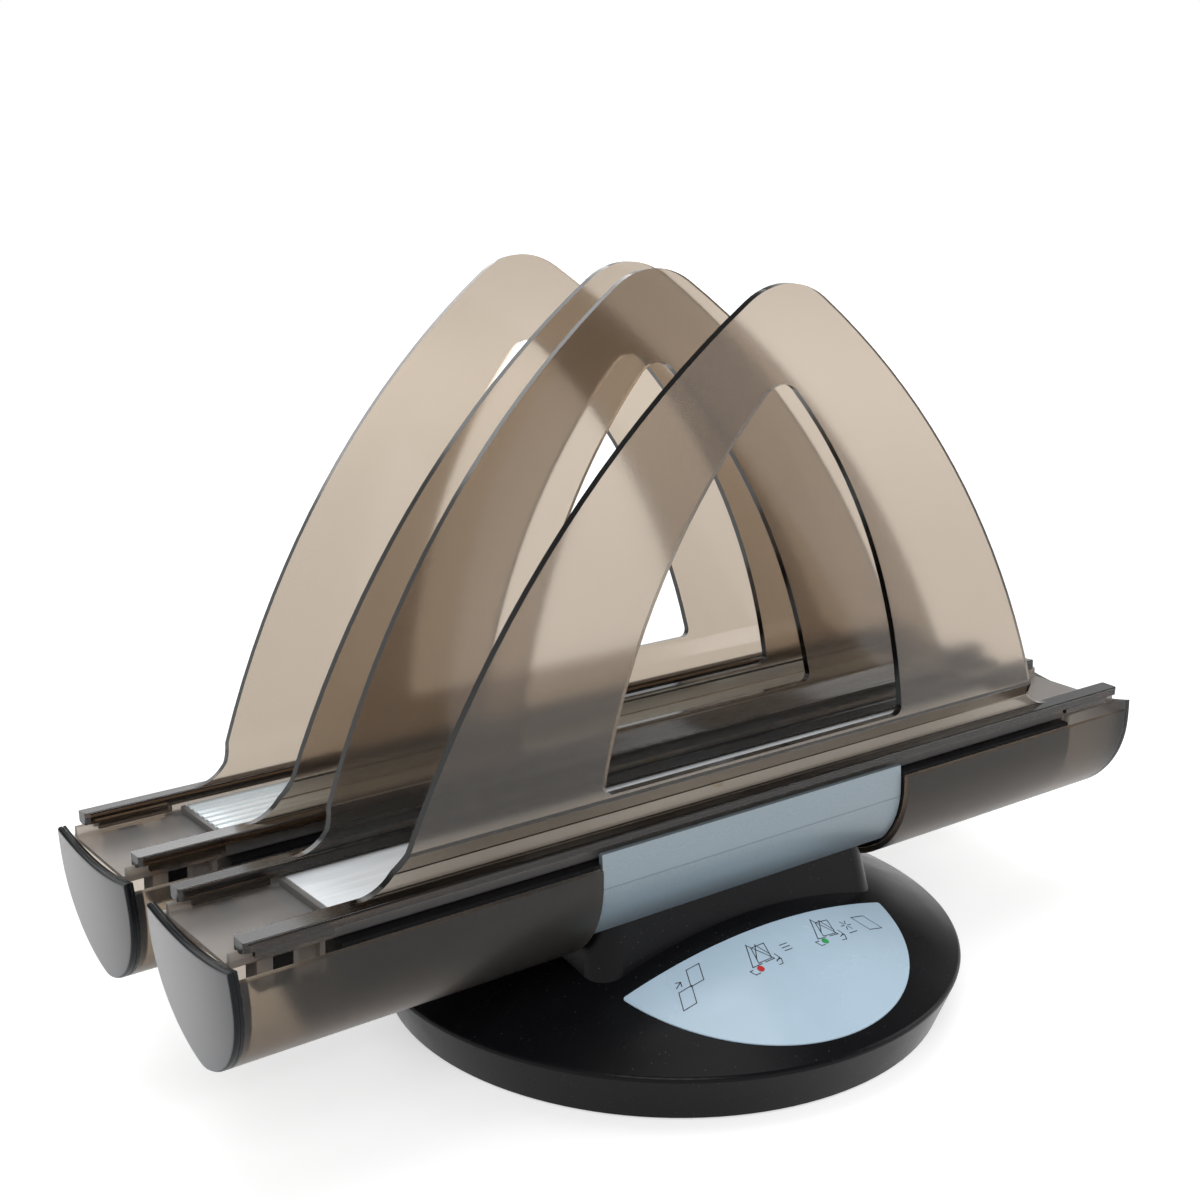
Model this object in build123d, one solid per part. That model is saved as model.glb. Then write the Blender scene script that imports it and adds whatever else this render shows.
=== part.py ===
from build123d import *
import math
import os

# Two-station thermal binder: a heating trough in front and a cooling trough behind,
# both carried by a neck on a round domed base. Each trough has two arched supports that
# rock on the top edge of its tray. Millimetres. X runs along the troughs, Y runs back,
# Z is up. The origin is on the table under the centre of the base.

# ---- troughs ----
trough_length = 394.8        # over the end caps, at their top corners
front_y = -25.6              # middle of the heating trough
rear_y = 43.5                # middle of the cooling trough
trough_half = 27.2           # half-width at the widest level
widest_z = 70.0              # height of the widest level
keel_radius = 33.2           # curve from the widest level down to the keel
keel_round = 8.0             # rounding of the keel itself
flank_radius = 78.0          # curve from the widest level up to the rim
fit_gap = 0.3                # assembly clearance between moulded pieces
root_bite = 0.5              # how far a raised feature reaches into the piece that it grows from
over = 1.0                   # how far a cutting shape runs past the face that it cuts
far = 300.0                  # longer than any piece, for cutting shapes

# ---- smoked shells and end caps ----
shell_wall = 2.0
shell_top = 75.8
shell_band_gap = 1.5         # left between the band's end and each shell
cap_top = 79.7
cap_dip = 3.3                # how far the cap's top edge sags in the middle
cap_depth = 3.0              # thickness of the cap along the trough
cap_face = 1.8               # thickness of its flat face
cap_rim = 2.2                # width of its rim
cap_slope = 0.105            # the caps lean in by this much per mm downwards
cap_edge_round = 1.0
groove_width = 0.3
groove_depth = 0.25
cap_reach = 20.0             # how far in from the trough's end the cap's pieces are drawn
tongue_wall = 1.6            # lip of the cap that plugs into the shell
tongue_length = 3.0
tongue_drop = 1.0            # the lip stays this far below the shell's top

# ---- silver bands over the middle of each trough ----
band_half = 67.5
band_inset = 2.4
band_wall = 1.8
band_top = 79.8
band_reach = 10.0            # the band's lower edge stays this far out from the keel
band_seam_z = 68.4           # fine step that runs along the band
band_seam_depth = 0.15
band_seam_width = 0.35

# ---- black inner frames ----
frame_end_gap = 36.4         # from the trough's end to the frame's end
frame_wall = 2.0
frame_deck = 1.8             # thickness of the deck that carries the tray
deck_window_inset = 11.0     # from the frame's end to the end of the deck's window
deck_window_half_y = 15.0
collar_band_gap = 0.8        # from the band's end to the collar that closes the step beside it
collar_length = 2.3
frame_screw_x = 45.0
frame_boss_radius = 4.5
frame_boss_top = 58.0
frame_boss_roof = 2.0        # left above the screw's hole
web_half = 8.0               # cross web that guides the start plunger
web_bottom = 68.4
web_top = 70.4
switch_shelf_half_x = 8.0
switch_shelf_half_y = 5.0
switch_shelf_top = 58.0

# ---- trays ----
tray_end_gap = 0.4           # between the tray and the cap
tray_half = 20.5             # half-width over the walls
tray_wall = 1.7
tray_floor = 1.2
tray_corner = 1.0
wall_top_z = 81.7
tray_drop = 4.8              # from the top of the walls down to the underside
riser_height = 2.4
riser_wall = 1.5
leg_drop = 9.5               # depth of the snap legs under the tray
leg_width = 8.0
leg_inset = 1.0              # from the tray's side to the legs
post_inset = 8.7             # post under the left end of the tray
post_length = 5.0
hook_gap = 2.5               # snap legs beside the frame
left_hook_length = 10.0
right_hook_length = 5.0
hook_rib = 1.6
block_gap = 0.3

# ---- plates ----
plate_inset = 4.7            # from the frame's end to the plate's end
plate_top = 80.7
plate_half = 18.4
plate_sheet = 1.5
plate_leg = 1.5
plate_edge_round = 0.5
plate_foot_round = 1.4       # clears the round corner inside the tray
rib_count = 10
rib_pitch = 3.7
rib_width = 2.1
rib_height = 1.2
cooling_top = 80.8
plate_hollow = 0.6           # depth of the hollow under the ribbed plate

# ---- heater, shield and sensors ----
heater_inset = 3.5           # from the shield's end to the heater's end
heater_half = 12.8
heater_sheet = 1.0
shield_inset = 13.5          # from the frame's end to the shield's end
shield_half = 14.0
shield_sheet = 0.6
shield_depth = 6.2
shield_lip = 2.6
shield_gap = 1.0             # left beyond the ends of the shield for its growth in heat
thermostat_x = 70.0
thermostat_radius = 7.0
thermostat_height = 5.0
thermostat_tab = 2.6
fuse_x = -70.0
fuse_radius = 2.0
fuse_length = 11.0
lead_x = 30.0
lead_offset = 2.5
lead_radius = 1.0
lead_hole_radius = 4.5

# ---- start plunger ----
pin_radius = 2.0
pin_running_gap = 0.06
pin_stand = 1.6              # how far the pin stands above the plate
pin_travel = 1.4
pin_tip_round = 1.2
flange_radius = 3.4
flange_height = 1.2
stem_radius = 1.5
spring_wall = 0.9
spring_gap = 0.3
micro_length = 12.8
micro_width = 5.8
micro_height = 6.0
micro_button_radius = 1.2
micro_button_height = 1.0
micro_gap = 0.2              # left between the stem and the button at full travel

# ---- supports ----
bar_end_gap = 2.7            # from the tray's end to the bar's end
bar_end_round = 1.8
bar_inner = -3.15            # bar edges, measured outwards from the rocking axis
bar_outer = 4.85
bar_bottom = 0.65            # heights above the rocking axis
bar_top = 4.65
bar_outer_rise = 1.2         # the underside rises outwards, which leaves room to rock
bar_inner_rise = 0.3
bar_sole = 1.3               # half-width of the flat part of the underside
bar_round = 0.9
rock_gap = 0.3               # clearance between the groove and the wall it sits on
lip_frame_gap = 1.0          # from the frame's end to the lips
lip_end_gap = 4.0            # from the bar's end to the lips
lip_wall = 1.6
lip_gap = 0.6
lip_drop = 1.15              # how far the lips reach below the rocking axis
panel_thickness = 2.6
panel_root = 2.0             # how far the panel reaches down into the bar
foot_offset = 0.35           # outer face of the foot, measured outwards from the axis
fold_low = 10.2              # the foot steps outwards between these heights
fold_high = 16.2
fold_step = 3.4
fold_shift = 0.5             # the inner face folds this much higher
fold_round = 1.2
arch_radius = 340.0
arch_centre_x = 178.5        # each side's curve is centred beyond the other side
arch_centre_z = -108.4       # measured from the rocking axis
arch_tip_round = 28.0
foot_round = 15.0
arch_band = 121.9            # the window's curves are this much tighter than the arch's
window_centre_x = 148.9
window_centre_z = -12.35
window_bottom = 18.4
window_tip_round = 9.5
window_corner_round = 3.0
heating_front_lean = -1.5    # degrees, positive leans back
heating_rear_lean = 6.0      # degrees
cooling_front_lean = 2.5     # degrees
cooling_rear_lean = 9.5      # degrees

# ---- base and neck ----
base_radius = 107.2          # at the rim crease
skirt_slope = 6.9            # the skirt is this much narrower where it meets the table
rim_z = 17.5
dome_top = 43.5
base_wall = 2.5
base_lift = 0.8              # the skirt stays this far off the table
rim_round = 1.5
neck_level = 31.0            # level at which the neck's size is given
neck_half_x = 64.0
neck_half_y = 54.5
neck_corner = 9.0
neck_draft = 10.0
neck_foot = 20.0
neck_top = 69.5
roof_pad_drop = 3.0
roof_pad_radius = 5.0
base_boss_radius = 4.0
base_boss_x = 69.6
base_boss_y = 48.8
bottom_plate = 2.4
bottom_plate_z = 1.6
rubber_foot_radius = 8.0
rubber_foot_gap = 4.947      # between the feet and the inside of the skirt
rubber_foot_round = 0.5
vent_count = 9
vent_pitch = 8.0
vent_length = 36.0
vent_width = 2.4

# ---- label on the dome ----
label_radius = 59.7
label_x = -2.0
label_inset = 66.0           # from the rim's front to the circle's centre
label_neck_gap = 7.05        # from the neck to the label's straight edge
label_sheet = 0.4
contact_gap = 0.05           # film of glue or grease between two pieces
label_corner = 0.8

# ---- screws ----
screw_shank = 1.5
screw_hole = 1.65
screw_head = 2.8
screw_head_height = 2.0
screw_reach = 13.0
screw_end_gap = 2.0          # left beyond a screw's tip
cross_half = 1.7             # cross recess in the heads
cross_slot = 0.4
cross_depth = 0.8
screw_sink = 1.4             # depth of the head in the bottom plate

# ---- electronics ----
board_z = 11.6
board_sheet = 1.6
standoff_radius = 3.0
power_board_x = 20.0
power_board_y = -22.0
power_board_length = 70.0
power_board_width = 36.0
control_board_x = -8.0
control_board_y = 24.0
control_board_length = 60.0
control_board_width = 30.0
standoff_inset = 4.0
board_corner = 1.5
core_x = -18.0               # transformer, measured from the middle of its board
core_half_x = 11.0
core_half_y = 9.0
core_height = 18.0
coil_half_x = 7.0
coil_reach = 5.0             # how far the coil stands out of the core at each side
coil_height = 15.0
part_round = 0.8
relay_x = 25.0               # measured from the middle of its board
relay_half_x = 7.5
relay_half_y = 9.5
relay_height = 15.0
chip_half_x = 8.0
chip_half_y = 4.0
chip_height = 2.2

# ---- power inlet and switch in a flat recess at the back of the skirt ----
inlet_x = 18.0
switch_x = -16.0
socket_z = 9.6
panel_inset = 0.3            # the recess's flat wall stands this far inside the skirt's foot
panel_half_x = 34.0
panel_low = 2.4
panel_high = 16.4
panel_flange = 1.5
flange_corner = 1.8
cutout_gap = 0.15
inlet_flange_x = 24.0
inlet_flange_z = 12.4
inlet_body_x = 19.0
inlet_body_z = 11.0
inlet_depth = 18.0
inlet_mouth_x = 14.4
inlet_mouth_z = 8.6
inlet_recess = 14.0
inlet_pin_radius = 1.2
inlet_pin_spacing = 6.6
inlet_pin_length = 9.0
switch_flange_x = 22.0
switch_flange_z = 12.4
switch_body_x = 19.0
switch_body_z = 11.0
switch_depth = 14.0
switch_mouth_x = 15.8
switch_mouth_z = 8.8
switch_recess = 8.5
rocker_half = 7.2
rocker_back_half = 5.8
rocker_height = 8.2
rocker_front = 3.4
rocker_dip = 0.9             # the front dips this much over the axle
rocker_back = 2.0
rocker_tilt = 8.0
rocker_sink = 2.6            # depth of the rocker's axle below the flange
axle_radius = 1.0
axle_running_gap = 0.05
axle_reach = 5.1

# ---- sizes worked out from those above ----
shell_start = band_half + shell_band_gap
collar_start = band_half + collar_band_gap
collar_end = collar_start + collar_length
low_centre = keel_radius - trough_half
up_centre = flank_radius - trough_half
frame_inset = shell_wall + fit_gap
frame_middle_inset = band_inset + band_wall + fit_gap
saddle_inset = frame_middle_inset - fit_gap
tray_bottom = wall_top_z - tray_drop
frame_top = tray_bottom
floor_z = tray_bottom + tray_floor
frame_half = trough_length / 2 - frame_end_gap
deck_window_half_x = frame_half - deck_window_inset
plate_half_length = frame_half - plate_inset
shield_half_length = frame_half - shield_inset
heater_half_length = shield_half_length - heater_inset
tray_half_length = trough_length / 2 - cap_depth - cap_slope * (cap_top - tray_bottom) - tray_end_gap
bar_half_length = tray_half_length - bar_end_gap
window_radius = arch_radius - arch_band
lip_near = frame_half + lip_frame_gap
lip_far = bar_half_length - lip_end_gap
post_far = tray_half_length - post_inset
post_near = post_far - post_length
hook_near = frame_half + hook_gap
left_hook_far = hook_near + left_hook_length
right_hook_far = hook_near + right_hook_length
wall_mid = tray_half - tray_wall / 2
axis_z = wall_top_z - tray_wall / 2
mid_y = (front_y + rear_y) / 2
foot_ring_radius = base_radius - skirt_slope
rubber_foot_reach = foot_ring_radius - base_wall - rubber_foot_gap - rubber_foot_radius
rubber_foot_place = rubber_foot_reach * math.sqrt(0.5)
label_y = label_inset - base_radius
panel_y = foot_ring_radius - panel_inset
label_back_y = mid_y - neck_half_y - label_neck_gap
dome_radius = (base_radius**2 + (dome_top - rim_z)**2) / (2 * (dome_top - rim_z))
dome_centre_z = dome_top - dome_radius
plate_underside = plate_top - plate_sheet
heater_bottom = plate_underside - heater_sheet
shield_bottom = floor_z - shield_depth
plate_back = bottom_plate_z + bottom_plate
flange_top = plate_underside - fit_gap
stem_tip = switch_shelf_top + micro_height + micro_button_height + micro_gap + pin_travel


# ---- outlines and helpers ----
def along_x(section, x_from, x_to):
    """A section drawn across the trough, run along X."""
    plane = Plane((x_from, 0, 0), x_dir=(0, 1, 0), z_dir=(1, 0, 0))
    return extrude(plane * section, amount=x_to - x_from, dir=(1, 0, 0))


def along_y(section, y_from, y_to):
    """A section drawn in X and Z, run along Y."""
    plane = Plane((0, y_from, 0), x_dir=(1, 0, 0), z_dir=(0, -1, 0))
    return extrude(plane * section, amount=y_to - y_from, dir=(0, 1, 0))


def block(x_from, x_to, y_from, y_to, z_from, z_to):
    """A plain block between two corners."""
    size = Box(x_to - x_from, y_to - y_from, z_to - z_from)
    return Pos((x_from + x_to) / 2, (y_from + y_to) / 2, (z_from + z_to) / 2) * size


def post(x, y, radius, z_from, z_to):
    """An upright cylinder."""
    return Pos(x, y, (z_from + z_to) / 2) * Cylinder(radius, z_to - z_from)


def rectangle(low_x, high_x, low_y, high_y):
    """A rectangle given by its limits."""
    shape = Rectangle(high_x - low_x, high_y - low_y)
    return Pos((low_x + high_x) / 2, (low_y + high_y) / 2) * shape


def keel_section(inset, top):
    """The trough's boat-shaped section, moved in by inset and cut flat at height top."""
    low = keel_radius - inset
    up = flank_radius - inset
    low_turn = math.degrees(math.acos(low_centre / low))
    up_turn = math.degrees(math.asin((top - widest_z) / up))
    bilge = CenterArc((-low_centre, widest_z), low, 0, -low_turn)
    flank = CenterArc((-up_centre, widest_z), up, 0, up_turn)
    right = flank @ 1
    deck = Line((-right.X, top), (right.X, top))
    outline = [bilge, flank, mirror(bilge, about=Plane.YZ), mirror(flank, about=Plane.YZ), deck]
    section = make_face(outline)
    keel = section.vertices().sort_by(Axis.Y)[0]
    return fillet(keel, keel_round - inset)


def cap_section(inset):
    """The end cap's outline: the trough's section with a sagging top edge."""
    half = math.sqrt(flank_radius**2 - (cap_top - widest_z)**2) - up_centre
    sag_radius = (half**2 + cap_dip**2) / (2 * cap_dip)
    sag = Pos(0, cap_top - cap_dip + sag_radius) * Circle(sag_radius + inset)
    return keel_section(inset, cap_top) - sag


def leaning_slab(near, deep):
    """Space between two planes that lean in with the cap; near and deep are depths from
    the cap's outer face."""
    low = 0.0
    high = 2 * wall_top_z

    def edge(depth, z):
        return trough_length / 2 - depth - cap_slope * (cap_top - z)

    corners = [(edge(near, low), low), (edge(near, high), high)]
    corners += [(edge(deep, high), high), (edge(deep, low), low)]
    return along_y(make_face(Polyline(*corners, close=True)), -far, far)


def at_left(piece):
    return mirror(piece, about=Plane.YZ)


def at_front(piece):
    """Puts a piece drawn round Y = 0 on the heating trough."""
    return Pos(0, front_y, 0) * piece


def at_rear(piece):
    """Puts the same piece, turned front to back, on the cooling trough."""
    return Pos(0, rear_y, 0) * mirror(piece, about=Plane.XZ)


# ---- trough pieces, drawn round Y = 0 with the outer side at -Y ----
def right_shell():
    section = keel_section(0, shell_top) - keel_section(shell_wall, shell_top + over)
    return along_x(section, shell_start, trough_length / 2) & leaning_slab(cap_depth, trough_length / 2)


def right_cap():
    start = trough_length / 2 - cap_reach
    end = trough_length / 2 + over
    body = along_x(cap_section(0), start, end) & leaning_slab(0, cap_depth)
    pocket = along_x(keel_section(cap_rim, cap_top - cap_dip - cap_rim), start, end)
    body -= pocket & leaning_slab(cap_face, cap_depth + over)
    outer_face = body.faces().sort_by(SortBy.AREA)[-1]
    body = fillet(outer_face.edges(), cap_edge_round)
    groove = along_x(cap_section(0) - cap_section(groove_depth), start, end)
    body -= groove & leaning_slab(cap_face, cap_face + groove_width)
    inner = shell_wall + fit_gap / 2
    tongue_top = shell_top - tongue_drop
    lip = keel_section(inner, tongue_top) - keel_section(inner + tongue_wall, tongue_top + over)
    tongue = along_x(lip, start, end) & leaning_slab(cap_depth - root_bite, cap_depth + tongue_length)
    return body + tongue


def band():
    section = keel_section(band_inset, band_top) - keel_section(band_inset + band_wall, band_top + over)
    seam = keel_section(band_inset, band_top) - keel_section(band_inset + band_seam_depth, band_top)
    body = along_x(section, -band_half, band_half)
    line = along_x(seam, -band_half - over, band_half + over)
    line &= block(-far, far, -far, 0, band_seam_z - band_seam_width, band_seam_z)
    body -= line
    keep = block(-far, far, -far, -band_reach, saddle_edge_z(), far)
    keep -= Pos(0, -front_y, 0) * neck_outer(fit_gap)
    return body & keep


def saddle_edge_z():
    """Height at which the neck's front wall meets the band's outer surface."""
    low = keel_radius - band_inset
    settle_steps = 40
    z = neck_level
    for step in range(settle_steps):
        reach = neck_half_y - (mid_y - front_y) - (z - neck_level) * math.tan(math.radians(neck_draft))
        z = widest_z - math.sqrt(low**2 - (reach + low_centre)**2)
    return z + fit_gap


def frame():
    """Closed black channel inside the shells, narrower behind the band."""
    wing = keel_section(frame_inset, frame_top)
    wing_void = keel_section(frame_inset + frame_wall, frame_top - frame_deck)
    middle = keel_section(frame_middle_inset, frame_top)
    middle_void = keel_section(frame_middle_inset + frame_wall, frame_top - frame_deck)
    body = along_x(middle, -collar_end, collar_end)
    right_wing = along_x(wing, collar_start, frame_half)
    body += right_wing + at_left(right_wing)
    body -= along_x(middle_void, -collar_end, collar_end)
    right_void = along_x(wing_void, collar_end, frame_half - frame_wall)
    body -= right_void + at_left(right_void)
    window = block(-deck_window_half_x, deck_window_half_x, -deck_window_half_y, deck_window_half_y,
                   frame_top - frame_deck - over, frame_top + over)
    body -= window
    inside = along_x(middle, -collar_start, collar_start)
    for x in (-frame_screw_x, frame_screw_x):
        body += post(x, 0, frame_boss_radius, 0, frame_boss_top) & inside
        body -= post(x, 0, screw_hole, 0, frame_boss_top - frame_boss_roof)
    return body


def heating_frame():
    """The front frame also guides the plunger and carries its switch."""
    inside = along_x(keel_section(frame_middle_inset, frame_top), -collar_start, collar_start)
    body = frame()
    body += block(-web_half, web_half, -trough_half, trough_half, web_bottom, web_top) & inside
    body -= post(0, 0, stem_radius + pin_running_gap, web_bottom - over, web_top + over)
    shelf = block(-switch_shelf_half_x, switch_shelf_half_x, -switch_shelf_half_y, switch_shelf_half_y,
                  0, switch_shelf_top)
    body += shelf & inside
    body -= post(lead_x, 0, lead_hole_radius, 0, switch_shelf_top)
    return body


def tray():
    """Thin tub on the deck; its walls carry the supports."""
    outer = rectangle(-tray_half, tray_half, tray_bottom, axis_z)
    outer = fillet(outer.vertices().group_by(Axis.Y)[0], tray_corner)
    inner = rectangle(-tray_half + tray_wall, tray_half - tray_wall, floor_z, axis_z + over)
    inner = fillet(inner.vertices().group_by(Axis.Y)[0], tray_corner)
    section = outer - inner
    for side in (-wall_mid, wall_mid):
        section += Pos(side, axis_z) * Circle(tray_wall / 2)
    body = along_x(section, -tray_half_length, tray_half_length)
    riser_from = plate_half_length + fit_gap
    riser = block(riser_from, riser_from + riser_wall, -plate_half, plate_half,
                  floor_z - root_bite, floor_z + riser_height)
    body += riser + at_left(riser)
    cut_x = shield_half_length + shield_gap
    cut_y = shield_half + fit_gap
    body -= block(-cut_x, cut_x, -cut_y, cut_y, tray_bottom - over, floor_z + over)
    leg_low = tray_bottom - leg_drop
    leg_from = tray_half - leg_width
    leg_to = tray_half - leg_inset
    for y_from, y_to in ((-leg_to, -leg_from), (leg_from, leg_to)):
        body += block(-post_far, -post_near, y_from, y_to, leg_low, tray_bottom)
        body += snap_leg(-left_hook_far, -hook_near, y_from, y_to, leg_low)
        body += snap_leg(hook_near, right_hook_far, y_from, y_to, leg_low)
    return body


def snap_leg(x_from, x_to, y_from, y_to, z_from):
    """Two thin ribs joined along their inner edge."""
    leg = block(x_from, x_from + hook_rib, y_from, y_to, z_from, tray_bottom)
    leg += block(x_to - hook_rib, x_to, y_from, y_to, z_from, tray_bottom)
    web_from = (y_from + y_to) / 2 - hook_rib / 2
    leg += block(x_from, x_to, web_from, web_from + hook_rib, z_from, tray_bottom)
    return leg


def end_blocks():
    """Black blocks held between the post and the snap leg at the left end."""
    leg_low = tray_bottom - leg_drop
    piece = block(-post_near + block_gap, -left_hook_far - block_gap,
                  tray_half - leg_width, tray_half - leg_inset, leg_low, tray_bottom)
    return piece + mirror(piece, about=Plane.XZ)


# ---- plates and heater ----
def heating_plate():
    section = rectangle(-plate_half, plate_half, floor_z, plate_top)
    section = fillet(section.vertices().group_by(Axis.Y)[-1], plate_edge_round)
    section = fillet(section.vertices().group_by(Axis.Y)[0], plate_foot_round)
    section -= rectangle(-plate_half + plate_leg, plate_half - plate_leg, floor_z - over, plate_underside)
    body = along_x(section, -plate_half_length, plate_half_length)
    return body - post(0, 0, pin_radius + pin_running_gap, floor_z, plate_top + over)


def cooling_plate():
    base_top = cooling_top - rib_height
    section = rectangle(-plate_half, plate_half, floor_z, base_top)
    section = fillet(section.vertices().group_by(Axis.Y)[0], plate_foot_round)
    section -= rectangle(-shield_half, shield_half, floor_z - over, floor_z + plate_hollow)
    first = -rib_pitch * (rib_count - 1) / 2
    for number in range(rib_count):
        middle = first + number * rib_pitch
        near = middle - rib_width / 2
        section += rectangle(near, near + rib_width, base_top - root_bite, cooling_top)
    return along_x(section, -plate_half_length, plate_half_length)


def heater_element():
    sheet = block(-heater_half_length, heater_half_length, -heater_half, heater_half,
                  heater_bottom, plate_underside)
    return sheet - post(0, 0, flange_radius + 2 * fit_gap, heater_bottom - over, plate_underside + over)


def heat_shield():
    outer = rectangle(-shield_half, shield_half, shield_bottom, floor_z)
    inner = rectangle(-shield_half + shield_sheet, shield_half - shield_sheet,
                      shield_bottom + shield_sheet, floor_z + over)
    lip_half = shield_half + shield_lip
    lips = rectangle(-lip_half, lip_half, floor_z, floor_z + shield_sheet)
    section = outer + lips - inner
    body = along_x(section, -shield_half_length, shield_half_length)
    body -= post(0, 0, flange_radius, shield_bottom - over, shield_bottom + over)
    body -= post(lead_x, 0, lead_hole_radius, shield_bottom - over, shield_bottom + over)
    return body


def thermostat():
    body = post(thermostat_x, 0, thermostat_radius, heater_bottom - thermostat_height, heater_bottom)
    tab_x = thermostat_radius + thermostat_tab
    tab_y = thermostat_tab / 2
    tab_top = heater_bottom - thermostat_height / 2
    tabs = block(thermostat_x - tab_x, thermostat_x + tab_x, -tab_y, tab_y, tab_top - shield_sheet, tab_top)
    return body + tabs


def thermal_fuse():
    barrel = Cylinder(fuse_radius, fuse_length)
    return Pos(fuse_x, 0, heater_bottom - fuse_radius - contact_gap) * Rot(0, 90, 0) * barrel


def heater_leads():
    leads = []
    for side in (-lead_offset, lead_offset):
        leads.append(post(lead_x, side, lead_radius, board_z + board_sheet, heater_bottom))
    return Compound(leads)


# ---- start plunger and its switch ----
def start_plunger():
    tip = plate_top + pin_stand
    body = post(0, 0, pin_radius, flange_top - root_bite, tip)
    body = fillet(body.edges().sort_by(Axis.Z)[-1], pin_tip_round)
    body += post(0, 0, flange_radius, flange_top - flange_height, flange_top)
    return body + post(0, 0, stem_radius, stem_tip, flange_top - root_bite)


def plunger_spring():
    inner = stem_radius + spring_gap
    sleeve_top = flange_top - flange_height
    sleeve = post(0, 0, inner + spring_wall, web_top, sleeve_top)
    return sleeve - post(0, 0, inner, web_top - over, sleeve_top + over)


def start_switch():
    body = block(-micro_length / 2, micro_length / 2, -micro_width / 2, micro_width / 2,
                 switch_shelf_top, switch_shelf_top + micro_height)
    top = switch_shelf_top + micro_height
    return body + post(0, 0, micro_button_radius, top - root_bite, top + micro_button_height)


# ---- supports, drawn round their rocking axis with the outer side at +Y ----
def bar_section():
    corners = [
        (bar_inner, bar_bottom + bar_inner_rise),
        (bar_inner, bar_top),
        (bar_outer, bar_top),
        (bar_outer, bar_bottom + bar_outer_rise),
        (bar_sole, bar_bottom),
        (-bar_sole, bar_bottom),
    ]
    section = make_face(Polyline(*corners, close=True))
    section = fillet(section.vertices().group_by(Axis.Y)[-1], bar_round)
    return section - Circle(tray_wall / 2 + rock_gap)


def lip_section():
    """The pair of lips that straddle the tray wall near the ends of the bar."""
    near = tray_wall / 2 + lip_gap
    high = (bar_bottom + bar_top) / 2
    pair = rectangle(near, near + lip_wall, -lip_drop, high)
    return pair + rectangle(-near - lip_wall, -near, -lip_drop, high)


def arch_outline():
    """Pointed arch with a flared foot, seen along Y."""
    side = Pos(-arch_centre_x, arch_centre_z) * Circle(arch_radius)
    arch = side & mirror(side, about=Plane.YZ)
    foot_half = math.sqrt(arch_radius**2 - (bar_top - arch_centre_z)**2) - arch_centre_x
    arch &= rectangle(-foot_half - over, foot_half + over, bar_top, far)
    tip = arch.vertices().sort_by(Axis.Y)[-1]
    arch = fillet(tip, arch_tip_round)
    sole_half = foot_half + 2 * foot_round
    arch += rectangle(-sole_half, sole_half, bar_top - panel_root, bar_top)
    sole = [v for v in arch.vertices() if abs(v.Y - bar_top) < contact_gap]
    corners = [v for v in sole if abs(v.X) < foot_half + over]
    return fillet(corners, foot_round)


def window_outline():
    side = Pos(-window_centre_x, window_centre_z) * Circle(window_radius)
    window = side & mirror(side, about=Plane.YZ)
    window &= rectangle(-far, far, window_bottom, far)
    tip = window.vertices().sort_by(Axis.Y)[-1]
    window = fillet(tip, window_tip_round)
    sill = window.vertices().group_by(Axis.Y)[0]
    return fillet(sill, window_corner_round)


def panel():
    """Folded sheet cut to the arch, with its window."""
    low = bar_top - panel_root
    outer_low = foot_offset
    outer_high = foot_offset + fold_step
    corners = [
        (outer_low, low),
        (outer_low, fold_low),
        (outer_high, fold_high),
        (outer_high, far),
        (outer_high - panel_thickness, far),
        (outer_high - panel_thickness, fold_high + fold_shift),
        (outer_low - panel_thickness, fold_low + fold_shift),
        (outer_low - panel_thickness, low),
    ]
    section = make_face(Polyline(*corners, close=True))
    folds = [v for v in section.vertices() if fold_low - fit_gap < v.Y < fold_high + over]
    section = fillet(folds, fold_round)
    sheet = along_x(section, -far, far)
    return sheet & along_y(arch_outline() - window_outline(), -bar_top, bar_top)


def support():
    bar_middle = (bar_inner + bar_outer) / 2
    plan = RectangleRounded(2 * bar_half_length, bar_outer - bar_inner, bar_end_round)
    column = Pos(0, bar_middle, -bar_top) * extrude(plan, amount=3 * bar_top)
    body = along_x(bar_section(), -bar_half_length, bar_half_length) & column
    body += panel()
    lips = along_x(lip_section(), lip_near, lip_far)
    body += lips + at_left(lips)
    return body


def placed_support(piece, trough_y, outwards, lean):
    """Stands a support on one wall of a tray. Outwards is -1 at the front wall."""
    if outwards < 0:
        piece = mirror(piece, about=Plane.XZ)
    return Pos(0, trough_y + outwards * wall_mid, axis_z) * Rot(-lean, 0, 0) * piece


# ---- base ----
def dome_profile(inset, bottom):
    """Half-section of the base, moved in by inset."""
    slope = (base_radius - foot_ring_radius) / rim_z
    radius = dome_radius - inset
    foot = base_radius - inset - slope * (rim_z - bottom)
    rim = base_radius - inset
    crease_z = dome_centre_z + math.sqrt(radius**2 - rim**2)
    top = dome_centre_z + radius
    half_turn = rim / 2
    middle_z = dome_centre_z + math.sqrt(radius**2 - half_turn**2)
    outline = [
        Line((0, bottom), (foot, bottom)),
        Line((foot, bottom), (rim, crease_z)),
        ThreePointArc((rim, crease_z), (half_turn, middle_z), (0, top)),
        Line((0, top), (0, bottom)),
    ]
    return Plane.XZ * make_face(outline)


def neck_outer(grow):
    """Tapered block of the neck, rounded at its corners, grown by a clearance."""
    slope = math.tan(math.radians(neck_draft))
    levels = []
    for z in (neck_foot, neck_top):
        shrink = (z - neck_level) * slope - grow
        size = RectangleRounded(2 * (neck_half_x - shrink), 2 * (neck_half_y - shrink), neck_corner)
        levels.append(Pos(0, mid_y, z) * size)
    return loft(levels)


def saddles(inset):
    """Both troughs' undersides, where the neck carries them."""
    channel = along_x(keel_section(inset, wall_top_z), -base_radius, base_radius)
    return at_front(channel) + at_rear(channel)


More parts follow.
